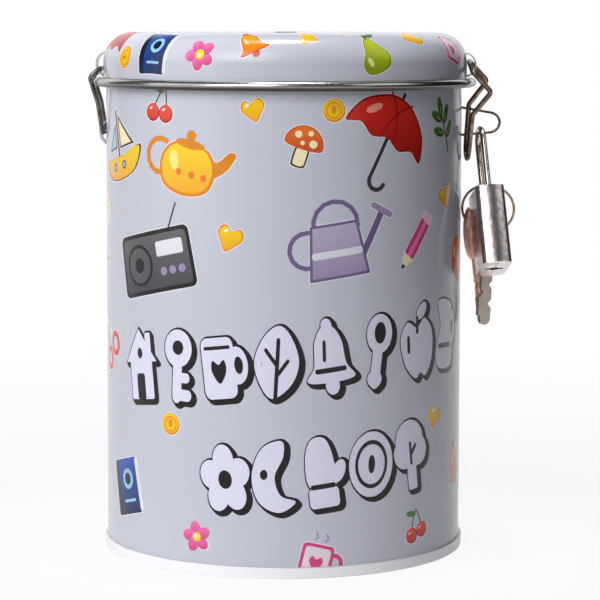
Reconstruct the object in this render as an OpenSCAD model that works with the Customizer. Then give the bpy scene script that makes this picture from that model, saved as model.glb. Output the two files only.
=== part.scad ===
// Round tin money box: a slip lid on a loose wire hinge, and a wire hasp held shut
// over a wire staple by a small padlock with two keys on a ring.
// Millimetres, Z up. The origin is on the tin's axis, at the surface it stands on.
// The hasp is on the +X side, the hinge on the -X side.

/* [Tin] */
// Outer radius of the tin's wall
body_r = 41.9; // [38:0.1:46]
// Height of the open rim
body_h = 116.4; // [114:0.1:116.6]
// Thickness of the tinplate
sheet = 0.3; // [0.25:0.01:0.35]
// Outer radius of the inward curl at the open rim
curl_r = 0.8; // [0.6:0.05:0.9]
// Height of the crimped ring round the base
seam_h = 2.5; // [2:0.1:4]
// Height of the base panel's underside
base_z = 1.9; // [1.2:0.1:3]
// Width of the lock seam down the back, inside the wall
lock_seam_w = 4; // [3:0.1:6]

/* [Lid] */
// Gap between the tin's wall and the lid's skirt
lid_gap = 0.65; // [0.5:0.01:0.8]
// How far the loose lid sits over towards the hasp
lid_shift = 0.3; // [0.1:0.05:0.35]
// Height of the lid's top
lid_top = 121.4; // [121:0.1:124]
// Radius of the lid's rounded shoulder
shoulder_r = 7; // [6:0.1:8]
// Underside of the lid's rolled edge
roll_z = 108.75; // [108:0.05:109]
// Outer radius of the rolled edge
roll_r = 1.05; // [0.9:0.05:1.1]
// Length of the coin slot
slot_l = 38; // [30:0.5:50]
// Width of the coin slot
slot_w = 4.6; // [4.4:0.1:6]
// Depth of the slot's turned-down edge
slot_lip = 1.2; // [0.6:0.1:2]

/* [Straps] */
// Width of each pressed-out strap
strap_w = 6; // [4:0.1:7]
// Half the height of each strap's opening
strap_half = 2.5; // [2.3:0.05:2.6]
// Height of the two straps on the lid
lid_strap_z = 113.9; // [113.8:0.05:114.4]
// Height of the hinge strap on the tin
body_strap_z = 97.8; // [94:0.1:100]
// Play round each wire in its strap
strap_play = 0.15; // [0.12:0.01:0.25]

/* [Hinge and hasp wires] */
// Diameter of the hinge wire
hinge_d = 1; // [0.8:0.05:1.1]
// Half the hinge wire's width
hinge_half = 5.5; // [4.5:0.1:7]
// Diameter of the hasp wire
hasp_d = 1.2; // [1:0.05:1.3]
// Half the hasp's width at its top bar
hasp_half = 6.8; // [6:0.1:7.5]
// Half the hasp's width at its round end
hasp_end_half = 4.6; // [4.3:0.1:5.2]
// How far the hasp leans to one side, in degrees
hasp_lean = 10; // [6:1:11]
// Length of the hasp from its bar to its end
hasp_drop = 21.8; // [20:0.1:23]
// Gap between the two ends of the hasp wire
hasp_split = 1.3; // [1.2:0.05:2]

/* [Staple] */
// Diameter of the staple wire
staple_d = 0.6; // [0.5:0.05:0.7]
// Height of the staple's upper leg at the wall
staple_top = 103.9; // [102:0.1:104]
// Height of the staple's lower leg at the wall
staple_low = 97.2; // [96:0.1:98]
// How far the staple stands out from the wall
staple_out = 9.45; // [9:0.05:10.5]

/* [Padlock] */
// Thickness of the padlock's body
lock_t = 6.8; // [6.6:0.1:8]
// Width of the padlock's body
lock_w = 14; // [13.6:0.1:16]
// Height of the padlock's body
lock_h = 18.6; // [18.5:0.1:22]
// Corner radius of the padlock's body
lock_corner = 1.6; // [1.2:0.1:2.4]
// Wall of the padlock's folded shell
lock_wall = 0.5; // [0.4:0.05:0.6]
// Diameter of the shackle wire
shackle_d = 1.4; // [1.3:0.05:1.6]
// Half the distance between the shackle's legs
shackle_half = 4; // [3.8:0.1:4.4]
// Clear height of the shackle below its round top
shackle_clear = 11.6; // [11:0.1:13]
// Distance from the wall to the padlock's axis
lock_out = 4.8; // [4.6:0.1:5.5]
// Swing of the padlock along the wall as it hangs, in degrees
lock_tilt = -20; // [-25:1:-15]
// Lean of the padlock away from the wall, in degrees
lock_lean = -3; // [-6:1:-2]
// Turn of the padlock about its own length, in degrees
lock_turn = 6; // [0:1:8]
// Travel of the padlock when it springs open
lock_travel = 5; // [4:0.1:5.5]

/* [Ring and keys] */
// Mean radius of the key ring
ring_r = 6.15; // [6:0.05:6.3]
// Diameter of the key ring's wire
ring_d = 0.6; // [0.5:0.05:0.7]
// Thickness of the keys
key_t = 0.9; // [0.8:0.05:1]
// Radius of the copper key's bow
copper_bow_r = 6.4; // [6:0.1:6.5]
// Radius of the nickel key's bow
nickel_bow_r = 4.8; // [4.2:0.1:4.8]
// Length of the keys' blades below the bow
blade_l = 14.4; // [12:0.1:15]
// Width of the keys' blades
blade_w = 3.4; // [3:0.1:3.6]
// Radius of the hole in each key
key_hole_r = 2.05; // [2:0.05:2.2]

/* [Hidden] */
$fn = 96;

// Clearance between pieces that are pressed or folded together
seat = 0.05;
// Radial clearance of a running fit
run = 0.07;
// Overlap that makes a cut or a join clean
eps = 0.01;
// Half the length of the collars along a bent wire
lap = 0.08;

body_in = body_r - sheet;
lid_in = body_r + lid_gap;
lid_out = lid_in + sheet;
shoulder_z = lid_top - shoulder_r;
roll_c = lid_out + roll_r + seat;

// Base seam: the flange turned out at the foot of the wall, and the ring folded over it
flange_z = sheet + 2 * seat;
flange_r = body_r + sheet;
seam_r = flange_r + seat + sheet;
seat_in = body_in - 2 * seat;

// Extra rise of the lid's straps, which lets their wires slant
slack = 0.18;
// Distance of each wire's bar from the axis of the wall whose strap holds it
function bar_r(wall, d) = wall + strap_play + d / 2;
hinge_top = [lid_shift - bar_r(lid_out, hinge_d), 0, lid_strap_z - 1];
hinge_low = [-bar_r(body_r, hinge_d), 0, body_strap_z];
hasp_bar_z = lid_strap_z - 0.35;
hasp_bar = [lid_shift + bar_r(lid_out, hasp_d), -hasp_drop * sin(hasp_lean), hasp_bar_z];
hasp_strap_az = atan2(hasp_bar[1] / 2, hasp_bar[0]);
roll_edge = lid_shift + roll_c + roll_r;

// The staple's round nose, and how far its legs slope towards each other
nose_drop = 1.7;
nose_rise = 0.9;
nose_x = body_r + staple_out - staple_d / 2;
nose_top = staple_top - nose_drop;
nose_low = staple_low + nose_rise;
nose_r = 2.4;
staple_in = body_in - staple_d / 2 - seat;

// Height, at the distance x, of the leg that leaves the wall at wall_z for the nose at nose_z
function leg_at(x, wall_z, nose_z) = wall_z + (nose_z - wall_z) * (x - staple_in) / (nose_x - staple_in);

// The shackle hangs on the staple's lower leg; its place is the centre of its round top
lock_x = body_r + lock_out;
leg_z = leg_at(lock_x, staple_low, nose_low);
lock_z = leg_z + staple_d / 2 + 0.1 - (shackle_half - shackle_d / 2);
shackle_r = shackle_d / 2;
top_z = -shackle_clear;
foot_z = top_z - lock_h;
plate_t = 0.9;
floor_t = 0.6;
bore_r = shackle_r + run;
block_top = top_z - plate_t - 2 * seat;
block_foot = foot_z + floor_t + seat;
block_t = lock_t - 2 * lock_wall - 2 * seat;

// Latch: it bites the short leg's notch and draws back as the padlock opens
latch_t = 0.9;
latch_z = top_z - 4.2;
bite = 0.4;
notch = 0.5;
latch_back = 1.8;
latch_l = 4.2;
latch_w = 3;
latch_turn = 0.75;
short_below = 2.6;
short_end = latch_z - latch_t - short_below;
leg_room = 0.4;
latch_tip = -shackle_half + shackle_r - bite;
channel_end = latch_tip + latch_l + latch_back + 0.4;

// Long leg: its flat slides past the stop pin, which keeps it in the body
pin_r = 0.35;
flat_d = 0.4;
pin_y = shackle_half - shackle_r + flat_d - seat - pin_r;
pin_z = top_z - 7;
long_end = pin_z - lock_travel - 2 * pin_r - 1.6;
spring_seat = block_foot + 0.6;
spring_r = 0.5;
spring_wire = 0.16;

// Round hollow the key turns in, and the post in its middle
barrel_r = 2.3;
post_r = 0.5;

// Key ring, in the padlock's own frame, and where the keys hang on it
ring_c = [1.2, 6.1, top_z - 2.4];
ring_lean = 39;
ring_spin = -15;
// How each key hangs: its angle round the ring from the bottom, its turn about its own length,
// its lean to the side and back, and the drop from the ring's wire to the middle of its hole
copper_pose = [-38, 70, -7, 6, 0.7];
nickel_pose = [2, 40, 3, -4, 0.8];

// Unit vector along v
function unit(v) = v / norm(v);

// Straight round bar from a to b
module rod(a, b, r) {
    v = b - a;
    translate(a) rotate([0, acos(v[2] / norm(v)), atan2(v[1], v[0])]) cylinder(h = norm(v), r = r);
}

// Turn of a wire at corner b on the way from a to c: part of a ring of radius bend
module turn(a, b, c, r, bend) {
    u = unit(b - a);
    v = unit(c - b);
    t = acos(u * v);
    middle = b + unit(v - u) * bend / cos(t / 2);
    start = b - u * bend * tan(t / 2);
    e = unit(start - middle);
    n = unit(cross(u, v));
    multmatrix([[e[0], u[0], n[0], middle[0]], [e[1], u[1], n[1], middle[1]],
                [e[2], u[2], n[2], middle[2]], [0, 0, 0, 1]])
        rotate_extrude(angle = t) translate([bend, 0]) circle(r = r, $fn = 32);
}

// How far from corner b of path p a turn of radius bend begins
function setback(p, i, bend) =
    i == 0 || i == len(p) - 1 ? 0 : bend * tan(acos(unit(p[i] - p[i - 1]) * unit(p[i + 1] - p[i])) / 2);

// Round wire along the points p; bends holds each corner's radius, and a collar a
// hundredth proud laps each joint between a straight and a turn
module wire(p, r, bends) {
    for (i = [0 : len(p) - 2]) {
        u = unit(p[i + 1] - p[i]);
        a = p[i] + u * setback(p, i, bends[i]);
        b = p[i + 1] - u * setback(p, i + 1, bends[i + 1]);
        rod(a, b, r);
        if (i > 0) rod(a - u * lap, a + u * lap, r + eps);
        if (i < len(p) - 2) rod(b - u * lap, b + u * lap, r + eps);
    }
    for (i = [1 : len(p) - 2]) turn(p[i - 1], p[i], p[i + 1], r, bends[i]);
}

// The points p mirrored in the plane y = 0, in reverse order
function mirrored(p) = [for (i = [len(p) - 1 : -1 : 0]) [p[i][0], -p[i][1], p[i][2]]];

// The strap's arch is a circle through the edges of its opening
function arch_r(rise) = (strap_half * strap_half + rise * rise) / (2 * rise);

// Round bar along Y that the arch of a strap follows, for a wall of radius wall
module arch(wall, z, rise, extra) {
    translate([wall + rise - arch_r(rise), 0, z]) rotate([90, 0, 0])
        cylinder(h = strap_w, r = arch_r(rise) + extra, center = true);
}

// Adds a pressed-out strap to a wall and opens the wall behind it
module strapped(wall, z, rise, az) {
    difference() {
        union() {
            children();
            rotate([0, 0, az]) difference() {
                arch(wall, z, rise, sheet);
                translate([0, 0, z - 10]) cylinder(h = 20, r = wall - sheet / 2);
            }
        }
        rotate([0, 0, az]) arch(wall, z, rise, 0);
    }
}

function strap_rise(d) = d + 2 * strap_play;

// Wall of the tin, with its foot flange, its rim curled inwards and its lock seam
module tin_body() {
    pin_hole = staple_d / 2 + seat;
    color("ghostwhite") difference() {
        union() {
            strapped(body_r, body_strap_z, strap_rise(hinge_d), 180) rotate_extrude() {
                translate([body_in, flange_z]) square([sheet, body_h - curl_r - flange_z]);
                translate([body_in, flange_z]) square([flange_r - body_in, sheet]);
                translate([body_r - curl_r, body_h - curl_r]) difference() {
                    circle(r = curl_r);
                    circle(r = curl_r - sheet);
                    translate([-curl_r - eps, -curl_r - eps]) square(curl_r + eps);
                }
            }
            intersection() {
                translate([-lock_seam_w / 2, 0, seam_h + 1])
                    cube([lock_seam_w, body_r, body_h - 2 * curl_r - seam_h - 2]);
                difference() {
                    cylinder(h = body_h, r = body_in + sheet / 2);
                    translate([0, 0, -eps]) cylinder(h = body_h + 2 * eps, r = body_in - 2 * sheet);
                }
            }
        }
        for (leg = [[staple_top, nose_top], [staple_low, nose_low]])
            translate([body_r - 2, 0, leg_at(body_r - sheet / 2, leg[0], leg[1])]) rotate([0, 90, 0])
                cylinder(h = 4, r = pin_hole, $fn = 24);
        translate([lock_seam_w / 2 - sheet, body_r - sheet / 3, seam_h + 1])
            cube([sheet, sheet, body_h - 2 * curl_r - seam_h - 2]);
    }
}

// Pressed base: a stepped panel, a countersunk wall and a ring folded over the wall's flange
module base_plate() {
    panel_r = seat_in - sheet;
    step_r = panel_r * 0.82;
    step = 0.5;
    edge_r = 0.2;
    color("gainsboro") rotate_extrude() {
        translate([0, base_z + step]) square([step_r + sheet, sheet]);
        translate([step_r, base_z]) square([sheet, step + sheet]);
        translate([step_r, base_z]) square([seat_in - step_r, sheet]);
        translate([panel_r, 0]) square([sheet, base_z + sheet]);
        translate([panel_r, 0]) square([seam_r - panel_r - edge_r, sheet]);
        translate([seam_r - edge_r, edge_r]) circle(r = edge_r);
        translate([seam_r - sheet, edge_r]) square([sheet, seam_h - 2 * edge_r]);
        translate([body_r + seat, flange_z + sheet + seat])
            square([seam_r - body_r - seat - edge_r, seam_h - flange_z - sheet - seat]);
        translate([seam_r - edge_r, seam_h - edge_r]) circle(r = edge_r);
    }
}

// Outline of the coin slot, widened by g all round
module slot_outline(g) {
    for (s = [-1, 1]) translate([0, s * (slot_l - slot_w) / 2]) circle(r = slot_w / 2 + g);
    square([slot_w + 2 * g, slot_l - slot_w], center = true);
}

// Slip lid: top, rounded shoulder, skirt and edge rolled outwards
module lid_shell() {
    color("ghostwhite") translate([lid_shift, 0, 0]) difference() {
        union() {
            strapped(lid_out, lid_strap_z, strap_rise(hasp_d) + 2 * slack, hasp_strap_az)
            strapped(lid_out, lid_strap_z, strap_rise(hinge_d) + slack, 180)
            rotate_extrude() {
                translate([0, lid_top - sheet]) square([lid_out - shoulder_r, sheet]);
                translate([lid_out - shoulder_r, shoulder_z]) intersection() {
                    difference() {
                        circle(r = shoulder_r);
                        circle(r = shoulder_r - sheet);
                    }
                    square(shoulder_r);
                }
                translate([lid_in, roll_z]) square([sheet, shoulder_z - roll_z]);
                translate([lid_in, roll_z]) square([roll_c - lid_in, sheet]);
                translate([roll_c, roll_z + roll_r]) difference() {
                    circle(r = roll_r);
                    circle(r = roll_r - sheet);
                    translate([-roll_r - eps, -roll_r - eps]) square(roll_r + eps);
                }
            }
            translate([0, 0, lid_top - sheet - slot_lip])
                linear_extrude(slot_lip + sheet / 2) slot_outline(sheet);
        }
        translate([0, 0, lid_top - 2 * slot_lip]) linear_extrude(4 * slot_lip) slot_outline(0);
    }
}

// Closed wire link of the hinge, bent out over the lid's rolled edge
module hinge_wire() {
    roll_room = 0.35;
    elbow_drop = 2;
    knee_out = 1.1;
    knee_rise = 7.2;
    end_lap = [0, 0.06, 0];
    out_x = -(roll_edge - 2 * lid_shift) - hinge_d / 2 - roll_room;
    side = [[hinge_top[0], -hinge_half, hinge_top[2]],
            [out_x, -hinge_half, hinge_top[2] - elbow_drop],
            [hinge_low[0] - knee_out, -hinge_half, hinge_low[2] + knee_rise],
            [hinge_low[0], -hinge_half, hinge_low[2]]];
    path = concat([hinge_top - end_lap], side, mirrored(side), [hinge_top + end_lap]);
    bends = [0, 0.9, 1.3, 6, 1, 1, 6, 1.3, 0.9, 0];
    color("dimgray") wire(path, hinge_d / 2, bends);
}

// Wire frame of the hasp; its two ends stop short of each other, astride the staple
module hasp_wire() {
    belly_out = 4.4;
    belly_drop = 4.8;
    waist_out = 0.1;
    waist_half = (hasp_half + 3 * hasp_end_half) / 4 + 1;
    waist_drop = 10.4;
    end_in = 0.6;
    end_bend = hasp_end_half - 0.8;
    cut = 6;
    side = [[-end_in, -hasp_end_half, -hasp_drop], [waist_out, -waist_half, -waist_drop],
            [belly_out, -hasp_half, -belly_drop], [0, -hasp_half, 0]];
    path = concat([[-end_in, 0, -hasp_drop]], side, mirrored(side), [[-end_in, 0, -hasp_drop]]);
    bends = [0, end_bend, 1.6, 1, 1, 1, 1, 1.6, end_bend, 0];
    color("dimgray") difference() {
        translate(hasp_bar) rotate([hasp_lean, 0, 0]) wire(path, hasp_d / 2, bends);
        translate([body_r - cut / 3, -hasp_split / 2, hasp_bar_z - hasp_drop - cut / 2])
            cube([cut, hasp_split, cut]);
    }
}

// Staple: a wire loop through two holes, its ends turned over inside the wall
module staple_wire() {
    path = [[staple_in, 0, staple_top + 2.2], [staple_in, 0, staple_top], [nose_x, 0, nose_top],
            [nose_x, 0, nose_low], [staple_in, 0, staple_low], [staple_in, 0, staple_low - 2.2]];
    color("dimgray") wire(path, staple_d / 2, [0, 0.45, nose_r, nose_r, 0.45, 0]);
}

// Puts a piece drawn in the padlock's own frame where the padlock hangs
module hung() {
    translate([lock_x, 0, lock_z]) rotate([lock_tilt, lock_lean, lock_turn]) children();
}

// Section of the padlock, moved in by inset: flat sides, ends that bulge on a circle as wide as
// the body, and a corner circle that touches a side and the end's circle
module lock_section(inset) {
    t = lock_t - 2 * inset;
    end_r = lock_w / 2 - inset;
    corner = lock_corner - inset;
    x = t / 2 - corner;
    y = sqrt(pow(end_r - corner, 2) - x * x);
    for (i = [-1, 1], j = [-1, 1]) translate([i * x, j * y]) circle(r = corner);
    square([t, 2 * y], center = true);
    intersection() {
        circle(r = end_r);
        square([2 * x * end_r / (end_r - corner), 2 * end_r], center = true);
    }
}

// Folded shell: open at the top, two flaps meeting under the keyhole
module padlock_shell() {
    keyhole_l = 4.3;
    keyhole_w = 1.1;
    keyhole_r = 1.2;
    fold_gap = 0.12;
    fold_l = lock_w - 2 * lock_corner;
    color("lightgray") hung() difference() {
        translate([0, 0, foot_z]) linear_extrude(lock_h) lock_section(0);
        translate([0, 0, foot_z + floor_t]) linear_extrude(lock_h) lock_section(lock_wall);
        translate([0, 0, foot_z - 1]) cylinder(h = 2, r = keyhole_r);
        translate([-keyhole_l / 2, -keyhole_w / 2, foot_z - 1]) cube([keyhole_l, keyhole_w, 2]);
        translate([-fold_gap / 2, -fold_l / 2, foot_z - 1]) cube([fold_gap, fold_l, 2]);
    }
}

// End plate in the mouth of the shell, with a hole for each leg
module padlock_top_plate() {
    color("silver") hung() translate([0, 0, top_z - plate_t]) linear_extrude(plate_t) difference() {
        lock_section(lock_wall + seat);
        for (s = [-1, 1]) translate([0, s * shackle_half]) circle(r = bore_r);
    }
}

// Shackle: a round top, a short notched leg and a long leg with a flat
module padlock_shackle() {
    notch_above = 0.2;
    notch_below = 1.4;
    flat_over = 0.2;
    color("silver") hung() difference() {
        union() {
            rotate([90, 0, 90]) rotate_extrude(angle = 180) translate([shackle_half, 0])
                circle(r = shackle_r, $fn = 32);
            translate([0, -shackle_half, short_end]) cylinder(h = -short_end, r = shackle_r);
            translate([0, shackle_half, long_end]) cylinder(h = -long_end, r = shackle_r);
        }
        translate([-2, -shackle_half + shackle_r - notch, latch_z - latch_t - notch_below])
            cube([4, 2, latch_t + notch_below + notch_above]);
        translate([-2, shackle_half - shackle_r + flat_d - 2, pin_z - lock_travel - pin_r - flat_over])
            cube([4, 2, lock_travel + 2 * pin_r + 2 * flat_over]);
    }
}

// Inner block that guides the legs, the latch and the springs
module lock_block() {
    color("darkgray") hung() difference() {
        translate([0, 0, block_foot]) linear_extrude(block_top - block_foot)
            lock_section(lock_wall + seat);
        translate([0, -shackle_half, short_end - leg_room]) cylinder(h = lock_h, r = bore_r);
        translate([0, shackle_half, spring_seat]) cylinder(h = lock_h, r = bore_r);
        translate([-latch_w / 2 - run, -shackle_half, latch_z - latch_t - run])
            cube([latch_w + 2 * run, shackle_half + channel_end, latch_t + 2 * run]);
        translate([0, 0, block_foot - eps])
            cylinder(h = latch_z - latch_t - block_foot - 0.6, r = barrel_r);
        translate([0, 0, latch_z - latch_t - 0.7 - eps]) cylinder(h = 1, r = post_r + eps);
        translate([-block_t, pin_y, pin_z]) rotate([0, 90, 0])
            cylinder(h = 2 * block_t, r = pin_r + eps, $fn = 32);
    }
}

// Sliding latch: its tip is in the short leg's notch
module latch_plate() {
    color("silver") hung() difference() {
        translate([-latch_w / 2, latch_tip, latch_z - latch_t]) cube([latch_w, latch_l, latch_t]);
        translate([0, 0.2, latch_z - latch_t - 1]) cylinder(h = 3, r = latch_turn);
    }
}

// Points of a coil of the given turns round Z, from z = 0 up to z = h
function coil(r, h, turns, per_turn) =
    [for (i = [0 : turns * per_turn]) let (a = 360 * i / per_turn)
        [r * cos(a), r * sin(a), h * i / (turns * per_turn)]];

// Tube with six sides swept along the points p
module tube(p, r) {
    n = len(p);
    sides = 6;
    points = [for (i = [0 : n - 1])
        let (d = unit(p[min(i + 1, n - 1)] - p[max(i - 1, 0)]), u = unit(cross(d, [0, 0, 1])),
             w = cross(u, d))
        for (j = [0 : sides - 1]) p[i] + r * (u * cos(360 * j / sides) + w * sin(360 * j / sides))];
    faces = concat([[for (j = [0 : sides - 1]) j]],
        [for (i = [0 : n - 2], j = [0 : sides - 1]) let (k = (j + 1) % sides, a = i * sides)
            each [[a + j, a + sides + j, a + k], [a + k, a + sides + j, a + sides + k]]],
        [[for (j = [sides - 1 : -1 : 0]) (n - 1) * sides + j]]);
    polyhedron(points, faces, convexity = 8);
}

// Coil behind the latch, pushing it into the notch
module latch_spring() {
    from_y = latch_tip + latch_l + spring_wire / 2 + seat;
    room = channel_end - from_y - spring_wire / 2 - seat;
    color("silver") hung() translate([0, from_y, latch_z - latch_t / 2]) rotate([-90, 0, 0])
        tube(coil(latch_t / 2 - spring_wire / 2 - seat, room, 3, 10), spring_wire / 2);
}

// Coil under the long leg, pushing the shackle up
module shackle_spring() {
    from_z = spring_seat + spring_wire / 2 + seat;
    color("silver") hung() translate([0, shackle_half, from_z])
        tube(coil(spring_r, long_end - from_z - spring_wire / 2 - seat, 5, 12), spring_wire / 2);
}

// Post in the middle of the keyhole that the key turns on
module key_post() {
    color("darkgray") hung() translate([0, 0, foot_z + floor_t + 0.3])
        cylinder(h = latch_z - latch_t - 0.1 - foot_z - floor_t - 0.3, r = post_r);
}

// Cross pin in the long leg's flat
module stop_pin() {
    color("darkgray") hung() translate([0, pin_y, pin_z]) rotate([0, 90, 0])
        cylinder(h = block_t, r = pin_r, center = true, $fn = 32);
}

// Puts a piece drawn in the ring's own plane where the ring hangs; it is drawn round Y
module on_ring() {
    hung() translate(ring_c) rotate([ring_lean, 0, 0]) rotate([0, 0, ring_spin]) children();
}

// Wire ring through the shackle
module key_ring() {
    color("dimgray") on_ring() rotate([90, 0, 0]) rotate_extrude() translate([ring_r, 0])
        circle(r = ring_d / 2, $fn = 32);
}

// Turns a vector v about the axes X, Y, Z in that order
function turned_x(v, a) = [v[0], v[1] * cos(a) - v[2] * sin(a), v[1] * sin(a) + v[2] * cos(a)];
function turned_y(v, a) = [v[0] * cos(a) + v[2] * sin(a), v[1], -v[0] * sin(a) + v[2] * cos(a)];
function turned_z(v, a) = [v[0] * cos(a) - v[1] * sin(a), v[0] * sin(a) + v[1] * cos(a), v[2]];
function from_lock(v) = [lock_x, 0, lock_z]
    + turned_z(turned_y(turned_x(v, lock_tilt), lock_lean), lock_turn);
// Point of the ring at the angle a from its bottom, towards +X
function ring_point(a) =
    from_lock(ring_c + turned_x(turned_z([ring_r * sin(a), 0, -ring_r * cos(a)], ring_spin), ring_lean));

// Flat key hanging on the ring in the given pose: a round bow of radius bow_r, a blade and
// its bit; each of the cuts is a notch's side, its drop below the bow and its size
module key_blank(pose, bow_r, cuts) {
    bow_drop = 0.9;
    neck = 0.4;
    blade_top = -bow_r - neck;
    blade_end = blade_top - blade_l;
    bit_l = 4.4;
    bit_rise = 0.6;
    bit_out = 0.6;
    translate(ring_point(pose[0])) rotate([pose[3], pose[2], 0]) rotate([0, 0, pose[1]])
        translate([0, 0, -pose[4]]) rotate([90, 0, 0]) linear_extrude(key_t, center = true)
            difference() {
                union() {
                    translate([0, -bow_drop]) circle(r = bow_r);
                    translate([-blade_w / 2, blade_end]) square([blade_w, blade_l + bow_drop]);
                    translate([0, blade_end]) circle(r = blade_w / 2);
                    translate([-blade_w / 2 - bit_out, blade_end + bit_rise])
                        square([blade_w + bit_out, bit_l]);
                }
                circle(r = key_hole_r);
                for (cut = cuts) translate([cut[0] * blade_w / 2, blade_top - cut[1]])
                    rotate(45) square(cut[2], center = true);
            }
}

// Copper key, behind
module copper_key() {
    color("peru") key_blank(copper_pose, copper_bow_r, [[1, 4.2, 1.2], [1, 8.6, 1.4], [-1, 6.5, 1.1]]);
}

// Nickel key, in front
module nickel_key() {
    color("silver") key_blank(nickel_pose, nickel_bow_r, [[1, 6.5, 1.3], [1, 11, 1.5], [-1, 8.2, 1]]);
}

tin_body();
base_plate();
lid_shell();
hinge_wire();
hasp_wire();
staple_wire();
padlock_shell();
padlock_top_plate();
padlock_shackle();
lock_block();
latch_plate();
latch_spring();
shackle_spring();
key_post();
stop_pin();
key_ring();
copper_key();
nickel_key();
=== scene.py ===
import math

import bpy
import numpy as np
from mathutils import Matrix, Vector
from mathutils.geometry import delaunay_2d_cdt


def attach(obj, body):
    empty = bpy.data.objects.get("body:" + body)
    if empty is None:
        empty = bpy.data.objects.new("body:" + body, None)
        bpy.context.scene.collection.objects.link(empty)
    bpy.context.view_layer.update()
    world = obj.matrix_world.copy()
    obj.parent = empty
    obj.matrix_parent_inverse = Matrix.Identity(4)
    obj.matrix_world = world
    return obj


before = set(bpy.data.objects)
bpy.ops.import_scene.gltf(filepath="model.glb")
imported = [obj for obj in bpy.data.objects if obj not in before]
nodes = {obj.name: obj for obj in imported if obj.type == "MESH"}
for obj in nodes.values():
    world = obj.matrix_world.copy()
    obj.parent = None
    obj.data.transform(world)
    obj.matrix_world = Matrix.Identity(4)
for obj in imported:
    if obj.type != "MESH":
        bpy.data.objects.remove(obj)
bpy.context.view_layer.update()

# Sizes in millimetres, as the solids have them
MM = 0.001
WALL_R = 41.9
RING_TOP = 2.5
RIM_Z = 115.2
STAPLE_HOLES = (103.8, 97.25)
STAPLE_HOLE_R = 0.9
TIN_STRAP_Z = 97.8
LID_X = 0.3
LID_R = 42.85
BEAD_LOW = 108.75
BEAD_TOP = 110.9
SHOULDER_Z = 114.4
SHOULDER_R = 7.0
LID_TOP = 121.4
HASP_STRAP = math.radians(-2.47)
SLOT_L = 38.0
SLOT_W = 4.6
# Half the opening that a strap leaves in the print, round the wall or lid and up the wall
STRAP_HALF = 3.05
STRAP_HALF_UP = 2.6
# Where that opening starts on the lid's flat blank, from its middle
LID_STRAP_R = 44.2
# Height of the print above the tinplate
INK = 0.03
# Gap between the print and the slot's turned-down edge
SLOT_GAP = 0.15
# Half the width of the bare strip along the side seam
SEAM_STRIP = 2.3

# The lid's flat blank: its flat top, the arc of its shoulder and the whole radius
TOP_R = LID_R - SHOULDER_R
SHOULDER_ARC = SHOULDER_R * math.pi / 2
BLANK_R = TOP_R + SHOULDER_ARC + SHOULDER_Z - BEAD_TOP

# Longest side of an outline where the sheet is cut along it, and where it is moved out
CUT_STEP = 1.6
GROW_STEP = 0.7
# Points closer than this become one in the cut sheet
MERGE = 1e-4
# Cosine between two sides' normals below which their corner is rounded
SHARP = 0.85
# Pale edge round the motifs, for outlines wider than HALO_FROM
HALO = 0.2
HALO_FROM = 3.0
# Stickers: stretch across and up, width of the black edge, and the shifts of its copies
STICKER_SHAPE = (0.82, 1.08)
STICKER_EDGE = 0.6
STICKER_DROPS = ((0.35, -0.1), (0.65, -0.4), (0.9, -0.65))


def linear(colour):
    """Linear colour of an sRGB colour whose parts are from 0 to 255."""
    c = np.asarray(colour, float) / 255
    return np.where(c <= 0.04045, c / 12.92, ((c + 0.055) / 1.055) ** 2.4)


# Print colours
GROUND = (200, 202, 215)
WHITE = (245, 246, 250)
STICKER_WHITE = (226, 226, 245)
PALE_EDGE = (238, 238, 244)
BLACK = (6, 5, 8)
INK_GREY = (62, 61, 66)
MID_GREY = (84, 83, 88)
LIGHT_GREY = (98, 97, 102)
YELLOW = (250, 214, 22)
SOFT_YELLOW = (255, 236, 130)
PALE_GOLD = (255, 224, 140)
GOLD = (246, 172, 24)
DEEP_GOLD = (224, 134, 14)
ORANGE = (240, 118, 28)
PEACH = (255, 214, 180)
BURNT = (206, 78, 22)
RED = (222, 48, 34)
BRIGHT_RED = (238, 84, 62)
DARK_RED = (160, 24, 24)
SALMON = (248, 150, 130)
PINK = (240, 122, 178)
PALE_PINK = (252, 208, 226)
ROSE = (214, 66, 132)
CREAM = (253, 240, 196)
BROWN = (92, 52, 34)
GREEN = (74, 128, 48)
DARK_GREEN = (38, 84, 36)
LIME = (196, 208, 40)
DARK_LIME = (142, 158, 24)
PALE_LIME = (232, 238, 140)
NAVY = (20, 26, 52)
BLUE = (34, 84, 178)
SKY = (150, 200, 232)
MAUVE = (158, 140, 178)
DARK_MAUVE = (112, 94, 138)
PALE_MAUVE = (190, 178, 206)
PALE = (228, 228, 236)


# Outlines. Each function gives the points of one closed outline.
def ellipse(x, y, a, b=None, turn=0.0, n=36):
    """Points (x + a cos t, y + b sin t), turned about (x, y)."""
    b = a if b is None else b
    t = np.arange(n) * 2 * math.pi / n
    c, s = math.cos(turn), math.sin(turn)
    px, py = a * np.cos(t), b * np.sin(t)
    return np.column_stack([x + px * c - py * s, y + px * s + py * c])


def curve(*points, steps=7):
    """Closed Catmull-Rom curve through the points, with steps points to each stretch."""
    p = np.array(points, float)
    out = []
    for i in range(len(p)):
        a, b, c, d = p[i - 1], p[i], p[(i + 1) % len(p)], p[(i + 2) % len(p)]
        for t in np.arange(steps) / steps:
            out.append(0.5 * (2 * b + (c - a) * t + (2 * a - 5 * b + 4 * c - d) * t**2
                              + (3 * b - a - 3 * c + d) * t**3))
    return np.array(out)


def poly(*points):
    """Closed outline with straight sides."""
    return np.array(points, float)


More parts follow.
